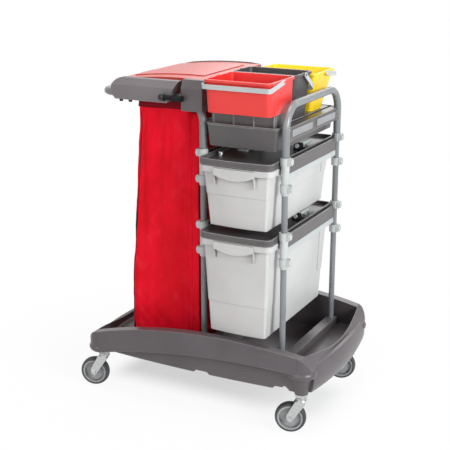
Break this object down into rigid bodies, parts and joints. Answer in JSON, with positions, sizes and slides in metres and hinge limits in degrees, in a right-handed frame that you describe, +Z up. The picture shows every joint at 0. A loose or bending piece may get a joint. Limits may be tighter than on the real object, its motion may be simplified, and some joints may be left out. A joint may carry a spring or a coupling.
{
  "type": "janitor cart",
  "caption": "Cleaning cart: moulded tray base on swivel casters, tube frame with sliding covered tubs, bucket tray on top, and a fabric waste bag under a hinged lid by the push handle",
  "frame": {"origin": "on the floor under the middle of the overall bounding box", "axes": "+X to the bucket end, -X to the push handle, -Y to the front where the tubs pull out, +Z up"},
  "size_m": [0.9203, 0.584, 1.145],
  "materials": {
    "dark_plastic": "moulded, fine grain",
    "tube": "satin grey powder coat",
    "clamp_plastic": "moulded, satin",
    "tub_plastic": "moulded, semi-gloss",
    "red_plastic": "moulded, semi-gloss",
    "bucket_grey": "moulded, satin",
    "yellow_plastic": "moulded, semi-gloss",
    "bag_fabric": "coated woven fabric",
    "lid_plastic": "moulded, semi-gloss",
    "black_plastic": "moulded",
    "zinc": "zinc plated",
    "hub_plastic": "moulded",
    "tyre": "non-marking rubber"
  },
  "bodies": {
    "cart": {"base_tray": "dark_plastic", "mid_foot_beam": "dark_plastic", "right_foot_beam": "dark_plastic", "front_mid_post": "tube", "front_right_post": "tube", "back_mid_post": "tube", "back_right_post": "tube", "right_bow": "tube", "bag_loop": "tube", "upper_cover_clamps": "clamp_plastic", "upper_guide_clamps": "clamp_plastic", "lower_cover_clamps": "clamp_plastic", "lower_guide_clamps": "clamp_plastic", "upper_cover": "dark_plastic", "lower_cover": "dark_plastic", "upper_runners": "clamp_plastic", "lower_runners": "clamp_plastic", "cover_pulls": "clamp_plastic", "top_tray": "dark_plastic", "label_plates": "clamp_plastic", "bucket_stand": "dark_plastic", "front_bag_clamp": "dark_plastic", "rear_bag_clamp": "dark_plastic", "front_corner_cap": "dark_plastic", "rear_corner_cap": "dark_plastic", "bag_hooks": "black_plastic", "lid_hinge_pin": "zinc", "waste_bag": "bag_fabric", "caster_head_fl": "zinc", "caster_head_fr": "zinc", "caster_head_bl": "zinc", "caster_head_br": "zinc"},
    "upper_drawer": {"upper_tub": "tub_plastic"},
    "lower_drawer": {"lower_tub": "tub_plastic"},
    "red_pail": {"red_bucket": "red_plastic"},
    "grey_pail": {"grey_bucket": "bucket_grey"},
    "yellow_pail": {"yellow_bucket": "yellow_plastic"},
    "red_handle": {"red_bail": "clamp_plastic"},
    "grey_handle": {"grey_bail": "clamp_plastic"},
    "yellow_handle": {"yellow_bail": "clamp_plastic"},
    "lid": {"bag_lid": "lid_plastic"},
    "latch": {"clamp_latch": "black_plastic"},
    "swivel_fl": {"caster_fork_fl": "zinc", "caster_axle_fl": "zinc"},
    "wheel_fl": {"caster_hub_fl": "hub_plastic", "caster_tyre_fl": "tyre"},
    "swivel_fr": {"caster_fork_fr": "zinc", "caster_axle_fr": "zinc"},
    "wheel_fr": {"caster_hub_fr": "hub_plastic", "caster_tyre_fr": "tyre"},
    "swivel_bl": {"caster_fork_bl": "zinc", "caster_axle_bl": "zinc"},
    "wheel_bl": {"caster_hub_bl": "hub_plastic", "caster_tyre_bl": "tyre"},
    "swivel_br": {"caster_fork_br": "zinc", "caster_axle_br": "zinc"},
    "wheel_br": {"caster_hub_br": "hub_plastic", "caster_tyre_br": "tyre"}
  },
  "joints": [
    {"name": "swivel_turn_fl", "type": "hinge", "parent": "cart", "child": "swivel_fl", "pos_m": [-0.37591, -0.22846, 0.116], "axis": [0, 0, 1], "continuous": true},
    {"name": "wheel_spin_fl", "type": "hinge", "parent": "swivel_fl", "child": "wheel_fl", "pos_m": [-0.40859, -0.23783, 0.052], "axis": [-0.2756, 0.9613, 0], "continuous": true},
    {"name": "swivel_turn_fr", "type": "hinge", "parent": "cart", "child": "swivel_fr", "pos_m": [0.3931, -0.22846, 0.116], "axis": [0, 0, 1], "continuous": true},
    {"name": "wheel_spin_fr", "type": "hinge", "parent": "swivel_fr", "child": "wheel_fr", "pos_m": [0.36042, -0.23783, 0.052], "axis": [-0.2756, 0.9613, 0], "continuous": true},
    {"name": "swivel_turn_bl", "type": "hinge", "parent": "cart", "child": "swivel_bl", "pos_m": [-0.37591, 0.22846, 0.116], "axis": [0, 0, 1], "continuous": true},
    {"name": "wheel_spin_bl", "type": "hinge", "parent": "swivel_bl", "child": "wheel_bl", "pos_m": [-0.40859, 0.21908, 0.052], "axis": [-0.2756, 0.9613, 0], "continuous": true},
    {"name": "swivel_turn_br", "type": "hinge", "parent": "cart", "child": "swivel_br", "pos_m": [0.3931, 0.22846, 0.116], "axis": [0, 0, 1], "continuous": true},
    {"name": "wheel_spin_br", "type": "hinge", "parent": "swivel_br", "child": "wheel_br", "pos_m": [0.36042, 0.21908, 0.052], "axis": [-0.2756, 0.9613, 0], "continuous": true},
    {"name": "upper_drawer_slide", "type": "slide", "parent": "cart", "child": "upper_drawer", "axis": [0, -1, 0], "range_m": [0, 0.38]},
    {"name": "lower_drawer_slide", "type": "slide", "parent": "cart", "child": "lower_drawer", "axis": [0, -1, 0], "range_m": [0, 0.38]},
    {"name": "red_pail_lift", "type": "slide", "parent": "cart", "child": "red_pail", "axis": [0, 0, 1], "range_m": [0, 0.2]},
    {"name": "red_handle_swing", "type": "hinge", "parent": "red_pail", "child": "red_handle", "pos_m": [0.1786, -0.188, 1.137], "axis": [-1, 0, 0], "range_deg": [0, 150]},
    {"name": "grey_pail_lift", "type": "slide", "parent": "cart", "child": "grey_pail", "axis": [0, 0, 1], "range_m": [0, 0.2]},
    {"name": "grey_handle_swing", "type": "hinge", "parent": "grey_pail", "child": "grey_handle", "pos_m": [0.1786, -0.022, 1.137], "axis": [1, 0, 0], "range_deg": [0, 126]},
    {"name": "yellow_pail_lift", "type": "slide", "parent": "cart", "child": "yellow_pail", "axis": [0, 0, 1], "range_m": [0, 0.2]},
    {"name": "yellow_handle_swing", "type": "hinge", "parent": "yellow_pail", "child": "yellow_handle", "pos_m": [0.1786, 0.154, 1.122], "axis": [1, 0, 0], "range_deg": [0, 150]},
    {"name": "lid_open", "type": "hinge", "parent": "cart", "child": "lid", "pos_m": [-0.1614, 0.2441, 1.104], "axis": [-1, 0, 0], "range_deg": [0, 95]},
    {"name": "latch_turn", "type": "hinge", "parent": "cart", "child": "latch", "pos_m": [-0.06141, -0.265, 1.072], "axis": [1, 0, 0], "range_deg": [0, 90]}
  ]
}
